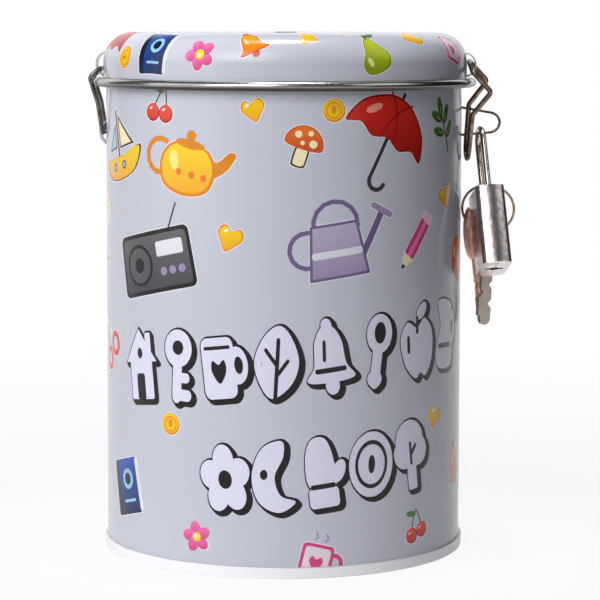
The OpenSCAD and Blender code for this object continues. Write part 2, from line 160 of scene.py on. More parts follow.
def panel(x0, y0, x1, y1, r):
    """Rectangle with round corners of radius r."""
    out = []
    corners = ((x1 - r, y1 - r, 0), (x0 + r, y1 - r, 90), (x0 + r, y0 + r, 180), (x1 - r, y0 + r, 270))
    for cx, cy, start in corners:
        for k in range(6):
            a = math.radians(start + 18 * k)
            out.append((cx + r * math.cos(a), cy + r * math.sin(a)))
    return np.array(out)


def bar(a, b, w):
    """Straight bar of width w from a to b with round ends."""
    a, b = np.array(a, float), np.array(b, float)
    along = math.atan2(b[1] - a[1], b[0] - a[0])
    t = np.linspace(math.pi / 2, 3 * math.pi / 2, 8)
    turned = np.column_stack([np.cos(t + along), np.sin(t + along)]) * w / 2
    return np.vstack([a + turned, b - turned])


def line(points, w, colour):
    """A stroke of width w through the points, as a list of bars."""
    return [(bar(p, q, w), colour) for p, q in zip(points[:-1], points[1:])]


def bend(x, y, r, start, end):
    """Nine points on a circle from the angle start to end, in degrees."""
    t = np.radians(np.linspace(start, end, 9))
    return list(zip(x + r * np.cos(t), y + r * np.sin(t)))


# Motifs. Each function gives (outline, colour) pairs about one unit high, the lowest layer first.
# A colour may be a pair, for the bottom and the top of its outline.
def heart():
    shape = curve((0, -0.47), (0.27, -0.2), (0.47, 0.08), (0.43, 0.34), (0.22, 0.44), (0, 0.27),
                  (-0.22, 0.44), (-0.43, 0.34), (-0.47, 0.08), (-0.27, -0.2))
    return [(shape, DEEP_GOLD),
            (shape * 0.88, (GOLD, YELLOW)),
            (ellipse(-0.2, 0.24, 0.09, 0.05, 0.6), WHITE)]


def coin():
    return [(ellipse(0, 0, 0.5), DEEP_GOLD),
            (ellipse(-0.02, 0.02, 0.45), (GOLD, YELLOW)),
            (ellipse(-0.02, 0.02, 0.34), DEEP_GOLD),
            (ellipse(-0.02, 0.02, 0.3), (YELLOW, GOLD)),
            (ellipse(-0.02, 0.02, 0.09, 0.17), DEEP_GOLD)]


def flower():
    out = []
    for k in range(5):
        a = math.radians(90 + 72 * k)
        out.append((ellipse(0.27 * math.cos(a), 0.27 * math.sin(a), 0.24, 0.19, a), (ROSE, PINK)))
    return out + [(ellipse(0, 0, 0.15), YELLOW), (ellipse(-0.03, 0.03, 0.06), WHITE)]


def sprig():
    out = line([(0, -0.5), (0.02, -0.1), (0, 0.3)], 0.045, DARK_GREEN)
    leaves = ((0.2, -0.12, 0.6), (-0.2, 0.0, 2.5), (0.19, 0.2, 0.75), (-0.16, 0.3, 2.3), (0.02, 0.42, 1.5))
    for x, y, turn in leaves:
        vein = [(x - 0.14 * math.cos(turn), y - 0.14 * math.sin(turn)), (x, y)]
        out.append((ellipse(x, y, 0.2, 0.09, turn), (DARK_GREEN, GREEN)))
        out += line(vein, 0.02, LIME)
    return out


def cherries():
    out = line([(-0.2, -0.1), (-0.05, 0.25), (0.1, 0.45)], 0.04, DARK_GREEN)
    out += line([(0.22, -0.06), (0.18, 0.2), (0.1, 0.45)], 0.04, DARK_GREEN)
    out.append((ellipse(-0.12, 0.38, 0.2, 0.09, -0.3), GREEN))
    for x, y in ((-0.22, -0.24), (0.22, -0.2)):
        out += [(ellipse(x, y, 0.23), DARK_RED),
                (ellipse(x - 0.01, y + 0.02, 0.2), (RED, BRIGHT_RED)),
                (ellipse(x - 0.08, y + 0.09, 0.05, 0.03, 0.7), WHITE)]
    return out


def pear():
    body = curve((0, -0.48), (0.3, -0.4), (0.36, -0.16), (0.2, 0.1), (0.1, 0.3), (-0.04, 0.34),
                 (-0.15, 0.2), (-0.22, 0.02), (-0.36, -0.2), (-0.28, -0.42))
    return line([(0.0, 0.3), (0.05, 0.48)], 0.05, BROWN) + [
        (ellipse(0.18, 0.42, 0.15, 0.07, 0.3), GREEN),
        (body, DARK_LIME),
        (body * 0.88, (DARK_LIME, LIME)),
        (ellipse(-0.16, -0.2, 0.06, 0.11, 0.3), PALE_LIME)]


def mug():
    mark = curve((-0.02, -0.25), (0.12, -0.1), (0.08, 0.02), (-0.02, -0.03), (-0.12, 0.02), (-0.16, -0.1))
    out = [(ellipse(0.36, -0.06, 0.2, 0.22), ROSE),
           (ellipse(0.36, -0.06, 0.11, 0.13), GROUND),
           (panel(-0.36, -0.44, 0.32, 0.28, 0.1), ROSE),
           (panel(-0.29, -0.37, 0.25, 0.21, 0.07), (PALE_PINK, PALE)),
           (mark, ROSE)]
    for x in (-0.14, 0.08):
        out += line([(x, 0.36), (x + 0.05, 0.42), (x, 0.5)], 0.035, MAUVE)
    return out


def teapot():
    body = curve((-0.34, -0.32), (0.02, -0.42), (0.36, -0.3), (0.42, 0.0), (0.24, 0.24), (-0.22, 0.24),
                 (-0.42, 0.0))
    spout = curve((0.36, -0.12), (0.56, 0.02), (0.66, 0.24), (0.57, 0.27), (0.44, 0.12), (0.3, 0.1))
    out = line(bend(-0.44, 0.0, 0.22, 70, 290), 0.07, DEEP_GOLD)
    out += [(spout, DEEP_GOLD),
            (body, DEEP_GOLD),
            (body * 0.9, (GOLD, YELLOW)),
            (ellipse(0, 0.25, 0.22, 0.06), DEEP_GOLD),
            (ellipse(0, 0.36, 0.07), DEEP_GOLD),
            (ellipse(-0.2, 0.0, 0.07, 0.13, 0.3), SOFT_YELLOW)]
    for x in (-0.1, 0.1, 0.28):
        out.append((ellipse(x, -0.13, 0.045), ORANGE))
    return out


def umbrella():
    dome = curve((-0.52, 0.02), (-0.44, 0.28), (-0.2, 0.46), (0, 0.5), (0.2, 0.46), (0.44, 0.28),
                 (0.52, 0.02), (0.35, 0.07), (0.18, 0.0), (0, 0.06), (-0.18, 0.0), (-0.35, 0.07))
    out = line([(0, 0.55), (0, -0.36)] + bend(0.09, -0.38, 0.09, 180, 360), 0.045, INK_GREY)
    out += [(dome, DARK_RED), (dome * (0.95, 0.93) + (0, 0.012), (DARK_RED, RED))]
    out += line(bend(0.52, 0.02, 0.6, 178, 127), 0.02, DARK_RED)
    out += line(bend(-0.52, 0.02, 0.6, 2, 53), 0.02, DARK_RED)
    return out + [(ellipse(-0.28, 0.26, 0.1, 0.04, 0.8), SALMON)]


def book():
    out = [(panel(-0.4, -0.46, 0.36, 0.46, 0.05), NAVY),
           (panel(-0.33, -0.42, 0.4, 0.42, 0.03), PALE),
           (panel(-0.37, -0.46, 0.33, 0.46, 0.05), (NAVY, BLUE)),
           (panel(-0.37, -0.46, -0.25, 0.46, 0.04), NAVY),
           (ellipse(0.04, 0.12, 0.17), SKY),
           (ellipse(0.04, 0.12, 0.1), NAVY)]
    return out + line([(-0.12, -0.24), (0.2, -0.24)], 0.05, SKY)


def balloon():
    out = line([(0, -0.2), (0.05, -0.32), (-0.03, -0.42), (0.03, -0.52)], 0.025, INK_GREY)
    body = curve((0, -0.16), (0.2, 0.0), (0.3, 0.22), (0.2, 0.44), (0, 0.52), (-0.2, 0.44), (-0.3, 0.22),
                 (-0.2, 0))
    return out + [(poly((-0.06, -0.22), (0.06, -0.22), (0, -0.12)), BURNT),
                  (body, (BURNT, ORANGE)),
                  (ellipse(-0.13, 0.34, 0.045, 0.09, -0.4), PEACH)]


def sock():
    body = curve((-0.2, 0.48), (0.14, 0.48), (0.16, 0.1), (0.2, -0.1), (0.42, -0.26), (0.36, -0.46),
                 (0.06, -0.44), (-0.18, -0.28), (-0.2, 0.0))
    out = [(body, DARK_MAUVE),
           (body * 0.92, (DARK_MAUVE, MAUVE)),
           (panel(-0.22, 0.34, 0.17, 0.5, 0.04), PALE_PINK)]
    for y in (0.2, 0.05):
        out += line([(-0.17, y), (0.12, y)], 0.05, PALE_PINK)
    return out + [(ellipse(0.33, -0.34, 0.09, 0.11, -0.6), PALE_PINK)]


def radio():
    out = line([(0.3, 0.3), (0.5, 0.62)], 0.025, INK_GREY)
    out += [(panel(-0.62, -0.38, 0.62, 0.36, 0.08), BLACK),
            (panel(-0.57, -0.33, 0.57, 0.31, 0.06), (INK_GREY, LIGHT_GREY)),
            (ellipse(-0.26, -0.02, 0.25), BLACK),
            (ellipse(-0.26, -0.02, 0.21), MID_GREY),
            (ellipse(-0.26, -0.02, 0.09), BLACK),
            (panel(0.08, 0.04, 0.5, 0.22, 0.03), PALE)]
    for x in (0.16, 0.3, 0.44):
        out.append((ellipse(x, -0.14, 0.05), MAUVE))
    return out


def watering_can():
    body = poly((-0.36, -0.44), (0.36, -0.44), (0.28, 0.18), (-0.28, 0.18))
    out = line(bend(0.02, 0.16, 0.26, -10, 190), 0.05, DARK_MAUVE)
    out += line([(0.24, -0.3), (0.6, 0.22)], 0.08, DARK_MAUVE)
    out += line([(0.5, 0.3), (0.7, 0.16)], 0.07, MAUVE)
    out += line(bend(-0.34, -0.08, 0.2, 80, 280), 0.05, DARK_MAUVE)
    return out + [(body, DARK_MAUVE),
                  (body * 0.9 - (0, 0.012), (MAUVE, PALE_MAUVE)),
                  (panel(-0.3, -0.2, 0.3, -0.12, 0.03), PALE)]


def boat():
    hull = curve((-0.55, -0.1), (-0.4, -0.36), (0.0, -0.44), (0.42, -0.36), (0.6, -0.06), (0.1, -0.12),
                 steps=5)
    return [(bar((0.0, -0.12), (0.0, 0.5), 0.05), BROWN),
            (poly((0.05, 0.46), (0.46, -0.02), (0.05, -0.02)), BROWN),
            (poly((0.08, 0.38), (0.38, 0.01), (0.08, 0.01)), CREAM),
            (poly((-0.05, 0.36), (-0.38, 0.0), (-0.05, 0.0)), BROWN),
            (poly((-0.08, 0.28), (-0.31, 0.03), (-0.08, 0.03)), SKY),
            (hull, BROWN),
            (hull * 0.93 - (0, 0.015), (GOLD, YELLOW)),
            (ellipse(-0.18, -0.24, 0.06), BROWN),
            (ellipse(0.12, -0.25, 0.06), BROWN),
            (ellipse(-0.18, -0.24, 0.035), SKY),
            (ellipse(0.12, -0.25, 0.035), SKY)]


def mushroom():
    cap = curve((-0.44, 0.02), (-0.38, 0.28), (-0.14, 0.46), (0.16, 0.45), (0.38, 0.27), (0.44, 0.02),
                (0.2, -0.05), (-0.2, -0.05))
    stem = curve((-0.14, 0.0), (0.14, 0.0), (0.17, -0.34), (0.12, -0.46), (-0.12, -0.46), (-0.17, -0.34))
    pale_stem = curve((-0.1, 0.0), (0.1, 0.0), (0.13, -0.32), (0.09, -0.42), (-0.09, -0.42), (-0.13, -0.32))
    return [(stem, BROWN),
            (pale_stem, CREAM),
            (cap, BURNT),
            (cap * 0.92 + (0, 0.01), (BURNT, ORANGE)),
            (ellipse(-0.18, 0.24, 0.08), CREAM),
            (ellipse(0.08, 0.33, 0.06), CREAM),
            (ellipse(0.2, 0.12, 0.09), CREAM),
            (ellipse(-0.04, 0.08, 0.05), CREAM)]


def bell():
    body = curve((-0.4, -0.26), (-0.26, -0.1), (-0.2, 0.2), (-0.08, 0.38), (0.08, 0.38), (0.2, 0.2),
                 (0.26, -0.1), (0.4, -0.26), (0.0, -0.3))
    return [(ellipse(0, -0.34, 0.1), BURNT),
            (ellipse(0, 0.42, 0.08), BURNT),
            (body, BURNT),
            (body * 0.88, (ORANGE, GOLD)),
            (ellipse(-0.1, 0.1, 0.035, 0.12, 0.15), PALE_GOLD)]


def candle():
    out = []
    for k in range(9):
        a = math.radians(20 * k + 10)
        ray = [(r * math.cos(a), 0.24 + r * math.sin(a)) for r in (0.34, 0.44)]
        out += line(ray, 0.025, GOLD)
    flame = curve((0, 0.1), (0.09, 0.2), (0.05, 0.34), (0, 0.48), (-0.08, 0.32), (-0.08, 0.2))
    out += [(ellipse(0, 0.24, 0.24), CREAM),
            (flame, ORANGE),
            (flame * 0.55 + (0, 0.09), YELLOW),
            (panel(-0.13, -0.4, 0.13, 0.09, 0.04), BROWN),
            (panel(-0.1, -0.37, 0.1, 0.06, 0.03), CREAM)]
    out += line([(0, 0.07), (0, 0.15)], 0.025, BROWN)
    return out + [(ellipse(0, -0.41, 0.3, 0.08), BROWN), (ellipse(0, -0.4, 0.25, 0.05), GOLD)]


def pencil():
    return [(panel(-0.11, -0.26, 0.11, 0.5, 0.04), ROSE),
            (panel(-0.04, -0.26, 0.04, 0.38, 0.01), PINK),
            (panel(-0.11, 0.36, 0.11, 0.5, 0.04), PALE_PINK),
            (poly((-0.11, -0.26), (0.11, -0.26), (0, -0.52)), CREAM),
            (poly((-0.045, -0.42), (0.045, -0.42), (0, -0.52)), INK_GREY)]


def cottage():
    return [(panel(-0.34, -0.44, 0.34, 0.12, 0.03), BROWN),
            (panel(-0.3, -0.4, 0.3, 0.1, 0.02), CREAM),
            (poly((-0.46, 0.06), (0.46, 0.06), (0, 0.5)), DARK_RED),
            (poly((-0.36, 0.1), (0.36, 0.1), (0, 0.43)), RED),
            (panel(-0.08, -0.4, 0.1, -0.1, 0.03), BROWN),
            (panel(0.15, -0.16, 0.27, 0.0, 0.02), SKY),
            (panel(-0.25, -0.16, -0.13, 0.0, 0.02), SKY)]


def scissors():
    out = line([(-0.12, -0.1), (0.14, 0.5)], 0.07, MAUVE) + line([(0.12, -0.1), (-0.14, 0.5)], 0.07, PALE)
    for x in (-0.2, 0.2):
        out += [(ellipse(x, -0.3, 0.19, 0.2), RED), (ellipse(x, -0.3, 0.1, 0.11), GROUND)]
    return out + [(ellipse(0, 0.14, 0.04), INK_GREY)]


# White stickers with a black edge, taller than wide. Each function gives the silhouette's outlines and
# the black marks on it.
def sticker_house():
    roof = poly((-0.46, 0.04), (0.46, 0.04), (0.0, 0.5))
    return ([panel(-0.33, -0.48, 0.33, 0.12, 0.04), roof, panel(0.18, 0.1, 0.33, 0.44, 0.02)],
            [panel(-0.14, -0.49, 0.1, -0.12, 0.05), ellipse(0, 0.16, 0.075)])


def sticker_mug():
    mark = curve((-0.11, -0.25), (0.03, -0.08), (0.0, 0.07), (-0.11, 0.01), (-0.22, 0.07), (-0.25, -0.08))
    return ([panel(-0.42, -0.46, 0.2, 0.38, 0.12), ellipse(0.24, -0.02, 0.2, 0.26)],
            [ellipse(0.27, -0.02, 0.08, 0.12), bar((-0.34, 0.24), (0.12, 0.24), 0.05), mark])


def sticker_leaf():
    leaf = curve((-0.05, -0.5), (0.28, -0.3), (0.4, 0.02), (0.24, 0.36), (0.02, 0.5), (-0.24, 0.34),
                 (-0.4, 0.0), (-0.28, -0.32))
    veins = [bar((0, -0.5), (0.02, 0.3), 0.07),
             bar((0, -0.2), (0.2, 0.02), 0.06),
             bar((0, -0.04), (-0.2, 0.16), 0.06)]
    return [leaf], veins


def sticker_key():
    silhouette = [ellipse(0, 0.24, 0.3, 0.26),
                  bar((0, 0.1), (0, -0.42), 0.2),
                  bar((0, -0.4), (0.24, -0.4), 0.16),
                  bar((0, -0.16), (0.2, -0.16), 0.14)]
    return silhouette, [ellipse(0, 0.25, 0.12, 0.1)]


def sticker_bell():
    body = curve((-0.44, -0.3), (-0.3, -0.1), (-0.25, 0.22), (-0.1, 0.42), (0.1, 0.42), (0.25, 0.22),
                 (0.3, -0.1), (0.44, -0.3), (0, -0.34))
    return ([body, ellipse(0, -0.38, 0.13), ellipse(0, 0.44, 0.1)],
            [bar((-0.26, -0.17), (0.26, -0.17), 0.07), bar((-0.1, -0.02), (-0.07, 0.22), 0.06)])


def sticker_spoon():
    handle = bar((0, 0.1), (-0.06, -0.42), 0.2)
    return ([ellipse(0.02, 0.24, 0.27, 0.27), handle, ellipse(-0.06, -0.38, 0.15, 0.12)],
            [ellipse(0.03, 0.25, 0.12, 0.15)])


def sticker_flower():
    angles = np.radians(90 + 72 * np.arange(5))
    petals = [ellipse(0.27 * math.cos(a), 0.27 * math.sin(a), 0.22, 0.2, a) for a in angles]
    return petals, [ellipse(0, 0, 0.13)]


def sticker_moon():
    moon = curve((0.1, 0.5), (-0.26, 0.38), (-0.42, 0.0), (-0.28, -0.36), (0.1, -0.5), (0.4, -0.34),
                 (0.12, -0.26), (0.0, 0.0), (0.14, 0.28))
    return [moon], [ellipse(-0.2, 0.02, 0.07)]


def sticker_apple():
    apple = curve((0, 0.22), (0.24, 0.32), (0.44, 0.1), (0.38, -0.26), (0.15, -0.48), (0, -0.42),
                  (-0.15, -0.48), (-0.38, -0.26), (-0.44, 0.1), (-0.24, 0.32))
    return ([apple, ellipse(0.17, 0.43, 0.17, 0.09, 0.5)],
            [bar((0, 0.16), (0.03, 0.34), 0.07), bar((-0.24, 0.1), (-0.26, -0.08), 0.07)])


def sticker_mitten():
    hand = curve((-0.3, -0.2), (-0.34, 0.2), (-0.2, 0.46), (0.06, 0.46), (0.18, 0.18), (0.18, -0.2))
    return ([hand, ellipse(0.26, -0.02, 0.18, 0.11, 0.9), panel(-0.34, -0.5, 0.22, -0.22, 0.07)],
            [bar((-0.26, -0.2), (0.14, -0.2), 0.07)])


def sticker_jug():
    body = curve((-0.28, -0.46), (0.24, -0.46), (0.34, -0.2), (0.2, 0.12), (0.24, 0.42), (-0.32, 0.48),
                 (-0.22, 0.12), (-0.38, -0.2))
    return ([body, ellipse(0.3, 0.08, 0.18, 0.25)],
            [ellipse(0.32, 0.08, 0.06, 0.12), bar((-0.26, -0.16), (0.2, -0.16), 0.07)])


def sticker_coin():
    outer, inner = ellipse(0, 0, 0.34), ellipse(0, 0, 0.28)
    ring = np.vstack([outer, outer[:1], inner[:1], inner[::-1]])
    return [ellipse(0, 0, 0.46)], [ring, ellipse(0, 0, 0.07, 0.13)]


def sticker_tree():
    silhouette = [ellipse(0, 0.2, 0.36, 0.3),
                  ellipse(-0.16, 0.04, 0.26, 0.22),
                  ellipse(0.18, 0.04, 0.26, 0.22),
                  panel(-0.12, -0.5, 0.12, 0.0, 0.04)]
    return silhouette, [bar((0.0, -0.12), (0.0, 0.16), 0.06), bar((0, 0.0), (0.14, 0.12), 0.06)]


def moved(outline, u, v, size, turn):
    """The outline, a unit high, brought to size and turned, in degrees, at (u, v)."""
    a = math.radians(turn)
    p = outline * size
    return np.column_stack([u + p[:, 0] * math.cos(a) - p[:, 1] * math.sin(a),
                            v + p[:, 0] * math.sin(a) + p[:, 1] * math.cos(a)])


def spaced(outline, step):
    """The outline with each side cut into equal stretches no longer than step."""
    ahead = np.roll(outline, -1, axis=0) - outline
    parts = np.maximum(1, np.ceil(np.hypot(*ahead.T) / step)).astype(int)
    first = np.repeat(np.cumsum(parts) - parts, parts)
    share = (np.arange(parts.sum()) - first) / np.repeat(parts, parts)
    return np.repeat(outline, parts, axis=0) + np.repeat(ahead, parts, axis=0) * share[:, None]


def grown(outline, w):
    """The outline moved out by w: each point p goes to p + w n, where n is the mean of the normals
    of the sides beside it, and a sharp corner gets both sides' own normals too, which rounds it."""
    p = spaced(outline, GROW_STEP)
    ahead = np.roll(p, -1, axis=0) - p
    area = np.sum(p[:, 0] * np.roll(p[:, 1], -1) - p[:, 1] * np.roll(p[:, 0], -1))
    out = np.column_stack([ahead[:, 1], -ahead[:, 0]]) * np.sign(area)
    out /= np.maximum(np.hypot(*out.T), 1e-9)[:, None]
    before = np.roll(out, 1, axis=0)
    mean = before + out
    mean /= np.maximum(np.hypot(*mean.T), 0.2)[:, None]
    sharp = np.sum(before * out, axis=1) < SHARP
    keep = np.column_stack([sharp, np.ones(len(p), bool), sharp])
    return (p[:, None] + w * np.stack([before, mean, out], axis=1))[keep]


def printed(motif, u, v, size, turn):
    """A motif at its place as (outline, bottom colour, top colour) layers, over a thin pale edge."""
    layers = []
    for outline, colour in motif:
        bottom, top = colour if isinstance(colour[0], tuple) else (colour, colour)
        layers.append((moved(outline, u, v, size, turn), bottom, top))
    wide = [outline for outline, _, _ in layers if np.ptp(outline, axis=0).min() > HALO_FROM]
    return [(grown(outline, HALO), PALE_EDGE, PALE_EDGE) for outline in wide] + layers


def sticker(parts, u, v, size, turn):
    """A white sticker with black marks, over black copies of it that are moved out and then shifted to
    the lower right, like a hard shadow."""
    shapes, marks = parts
    shapes = [moved(s * STICKER_SHAPE, u, v, size, turn) for s in shapes]
    black = [grown(s, STICKER_EDGE) for s in shapes]
    layers = [(b + np.array(drop), BLACK, BLACK) for drop in STICKER_DROPS for b in black]
    layers += [(s, STICKER_WHITE, STICKER_WHITE) for s in shapes]
    return layers + [(moved(m * STICKER_SHAPE, u, v, size, turn), BLACK, BLACK) for m in marks]


def inside(points, outline):
    """Which points lie inside the outline, by its winding number."""
    turns = np.zeros(len(points), int)
    for a, b in zip(outline, np.roll(outline, -1, axis=0)):
        left = (b[0] - a[0]) * (points[:, 1] - a[1]) - (points[:, 0] - a[0]) * (b[1] - a[1])
        turns += (a[1] <= points[:, 1]) & (b[1] > points[:, 1]) & (left > 0)
        turns -= (a[1] > points[:, 1]) & (b[1] <= points[:, 1]) & (left < 0)
    return turns != 0


def cut_sheet(outlines, border, holes, grid):
    """A constrained Delaunay triangulation of the flat sheet, which has every outline among its edges
    and every grid point among its corners, inside the border and outside the holes."""
    points = []
    edges = []
    for loop in outlines + [spaced(b, CUT_STEP) for b in [border, *holes]]:
        start = len(points)
        points += [Vector(p) for p in loop]
        edges += [(start + k, start + (k + 1) % len(loop)) for k in range(len(loop))]
    points += [Vector(p) for p in grid]
    flat, _, faces, _, _, _ = delaunay_2d_cdt(points, edges, [], 0, MERGE)
    flat = np.array(flat, float)
    faces = np.array(faces, int)
    middle = flat[faces].mean(axis=1)
    keep = inside(middle, border)
    for hole in holes:
        keep &= ~inside(middle, hole)
    return flat, faces[keep]


def ink_colours(corners, layers, outlines):
    """The colour of each triangle's corners. A later layer covers an earlier one, and its colour goes
    from its bottom one to its top one with the height."""
    middle = corners.mean(axis=1)
    colours = np.empty((len(corners), 3, 4))
    colours[:] = (*linear(GROUND), 1)
    for (_, bottom, top), outline in zip(layers, outlines):
        low, high = outline.min(axis=0), outline.max(axis=0)
        close = np.flatnonzero(np.all((middle > low) & (middle < high), axis=1))
        hit = close[inside(middle[close], outline)]
        share = np.clip((corners[hit, :, 1] - low[1]) / (high[1] - low[1]), 0, 1)[:, :, None]
        colours[hit, :, :3] = linear(bottom) * (1 - share) + linear(top) * share
    return colours


def printed_sheet(name, layers, border, holes, grid, wrap, body):
    """One sheet of print, cut into triangles along every outline of its motifs. wrap takes the flat
    points (u, v) to points and normals in the row frame, in millimetres."""
    outlines = [spaced(outline, CUT_STEP) for outline, _, _ in layers]
    flat, faces = cut_sheet(outlines, border, holes, grid)
    colours = ink_colours(flat[faces], layers, outlines)
    used, order = np.unique(faces, return_inverse=True)
    faces = order.reshape(faces.shape)
    where, normals = wrap(flat[used])
    mesh = bpy.data.meshes.new(name)
    mesh.from_pydata((where * MM).tolist(), [], faces.tolist())
    ink = mesh.color_attributes.new("ink", "FLOAT_COLOR", "CORNER")
    ink.data.foreach_set("color", colours.ravel().astype(np.float32))
    mesh.shade_smooth()
    mesh.normals_split_custom_set_from_vertices(normals.tolist())
    mesh.materials.append(PRINT)
    piece = bpy.data.objects.new(name, mesh)
    bpy.context.scene.collection.objects.link(piece)
    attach(piece, body)


# How the flat sheets wrap on to the tin and the lid
def on_tin(flat):
    """Flat (u, v) to the wall: u runs round it from the front, v is the height."""
    a = flat[:, 0] / WALL_R - math.pi / 2
    normal = np.column_stack([np.cos(a), np.sin(a), np.zeros(len(a))])
    where = normal * (WALL_R + INK)
    where[:, 2] = flat[:, 1]
    return where, normal


def on_lid(flat):
    """The flat blank (x, y) to the drawn lid. With r the distance from the middle, a point keeps its
    angle; it stays flat for r up to TOP_R, then goes round the shoulder by the angle (r - TOP_R) /
    SHOULDER_R, and after a quarter turn straight down the skirt."""
    r = np.hypot(*flat.T)
    a = np.arctan2(flat[:, 1], flat[:, 0])
    t = np.clip((r - TOP_R) / SHOULDER_R, 0, math.pi / 2)
    out = np.where(r < TOP_R, r, TOP_R + (SHOULDER_R + INK) * np.sin(t))
    down = np.maximum(r - TOP_R - SHOULDER_ARC, 0)
    z = SHOULDER_Z + (SHOULDER_R + INK) * np.cos(t) - down
    where = np.column_stack([out * np.cos(a) + LID_X, out * np.sin(a), z])
    return where, np.column_stack([np.sin(t) * np.cos(a), np.sin(t) * np.sin(a), np.cos(t)])


def ring_points(radii, count):
    """Grid points on rings about the middle, each ring turned half a step from the last."""
    r = np.repeat(radii, count)
    a = np.tile(np.arange(count), len(radii)) + np.repeat(np.arange(len(radii)) % 2, count) / 2
    a = a * 2 * math.pi / count
    return np.column_stack([r * np.cos(a), r * np.sin(a)])


# Materials
def material(name, colour=(128, 128, 128), metallic=0.0, roughness=0.5):
    """A new material, with its node tree and its Principled shader."""
    made = bpy.data.materials.new(name)
    made.use_nodes = True
    shader = made.node_tree.nodes["Principled BSDF"]
    shader.inputs["Base Color"].default_value = (*linear(colour), 1)
    shader.inputs["Metallic"].default_value = metallic
    shader.inputs["Roughness"].default_value = roughness
    return made, made.node_tree, shader


def node(tree, kind, **values):
    """A node of a kind, with its settings and its input values."""
    new = tree.nodes.new(kind)
    for key, value in values.items():
        if hasattr(new, key):
            setattr(new, key, value)
        else:
            new.inputs[key.replace("_", " ")].default_value = value
    return new


def object_mm(tree, scale=(1, 1, 1)):
    """Object coordinates in millimetres, stretched by scale."""
    where = node(tree, "ShaderNodeTexCoord")
    mapping = node(tree, "ShaderNodeMapping", Scale=[1000 * s for s in scale])
    tree.links.new(where.outputs["Object"], mapping.inputs["Vector"])
    return mapping.outputs["Vector"]


def radius_and_height(tree, where, middle_x):
    """Distance from the upright line through (middle_x, 0), and the height, in millimetres."""
    centred = node(tree, "ShaderNodeVectorMath", operation="SUBTRACT")
    centred.inputs[1].default_value = (middle_x, 0, 0)
    tree.links.new(where, centred.inputs[0])
    level = node(tree, "ShaderNodeVectorMath", operation="MULTIPLY")
    level.inputs[1].default_value = (1, 1, 0)
    tree.links.new(centred.outputs["Vector"], level.inputs[0])
    radius = node(tree, "ShaderNodeVectorMath", operation="LENGTH")
    tree.links.new(level.outputs["Vector"], radius.inputs[0])
    split = node(tree, "ShaderNodeSeparateXYZ")
    tree.links.new(where, split.inputs[0])
    return radius.outputs["Value"], split.outputs["Z"]


def noise(tree, vector, scale, detail=3.0, rough=0.5):
    """Noise from 0 to 1, scale cells to the millimetre."""
    new = node(tree, "ShaderNodeTexNoise", Scale=scale, Detail=detail, Roughness=rough)
    tree.links.new(vector, new.inputs["Vector"])
    return new.outputs["Fac"]


def spread(tree, value, low, high, out_low, out_high):
    """The value taken from low..high to out_low..out_high."""
    new = node(tree, "ShaderNodeMapRange", From_Min=low, From_Max=high, To_Min=out_low, To_Max=out_high)
    tree.links.new(value, new.inputs["Value"])
    return new.outputs["Result"]


def joined(tree, operation, a, b):
    """Two values multiplied, or the greater of them, as the operation says."""
    new = node(tree, "ShaderNodeMath", operation=operation)
    tree.links.new(a, new.inputs[0])
    tree.links.new(b, new.inputs[1])
    return new.outputs["Value"]


# The colour sockets of a Mix node, which share their names with its other sockets
MIX_A = 6
MIX_B = 7
MIX_RESULT = 2


def mixed(tree, share, a, b):
    """Colour a where share is 0 and colour b where it is 1. Each is a colour or a socket."""
    new = tree.nodes.new("ShaderNodeMix")
    new.data_type = "RGBA"
    tree.links.new(share, new.inputs["Factor"])
    for colour, slot in ((a, new.inputs[MIX_A]), (b, new.inputs[MIX_B])):
        if isinstance(colour, tuple):
            slot.default_value = (*linear(colour), 1)
        else:
            tree.links.new(colour, slot)
    return new.outputs[MIX_RESULT]


def raised(tree, shader, height, distance, strength):
    """Bump from a height, its depth in millimetres."""
    bump = node(tree, "ShaderNodeBump", Strength=strength, Distance=distance * MM)
    tree.links.new(height, bump.inputs["Height"])
    tree.links.new(bump.outputs["Normal"], shader.inputs["Normal"])


# Colours of bare tinplate, of the painted shade under the rolled edge and of the base ring's lacquer
BRIGHT_TIN = (196, 195, 192)
DULL_TIN = (176, 174, 170)
# Dark painted shade for the shadow under the rolled edge, not real dirt
PAINTED_SHADE_COLOUR = (74, 66, 62)
BASE_WHITE = (252, 250, 255)
# Heights above the rolled edge's lowest line up to which its painted shade is full, and from which it is
# bright tin again
PAINTED_SHADE_TO = 0.6
BRIGHT_FROM = 1.3


def lacquer(tree, shader, gloss):
    """Clear lacquer with a specular level of gloss: rougher in patches where it is rubbed, and with a
    fine orange peel."""
    where = object_mm(tree)
    shader.inputs["Specular IOR Level"].default_value = gloss
    rubbed = noise(tree, where, 0.35, 6.0, 0.7)
    tree.links.new(spread(tree, rubbed, 0.35, 0.75, 0.16, 0.26), shader.inputs["Roughness"])
    raised(tree, shader, noise(tree, where, 0.5, 2.0), 0.01, 0.25)


def print_finish():
    """Litho print: the ink attribute's colours under clear lacquer."""
    made, tree, shader = material("litho_print")
    ink = node(tree, "ShaderNodeAttribute", attribute_name="ink")
    tree.links.new(ink.outputs["Color"], shader.inputs["Base Color"])
    lacquer(tree, shader, 0.35)
    return made


def base_finish():
    """White lacquer on the base ring, glossier than the print's."""
    made, tree, shader = material("base_white_lacquer", BASE_WHITE)
    lacquer(tree, shader, 1.0)
    return made


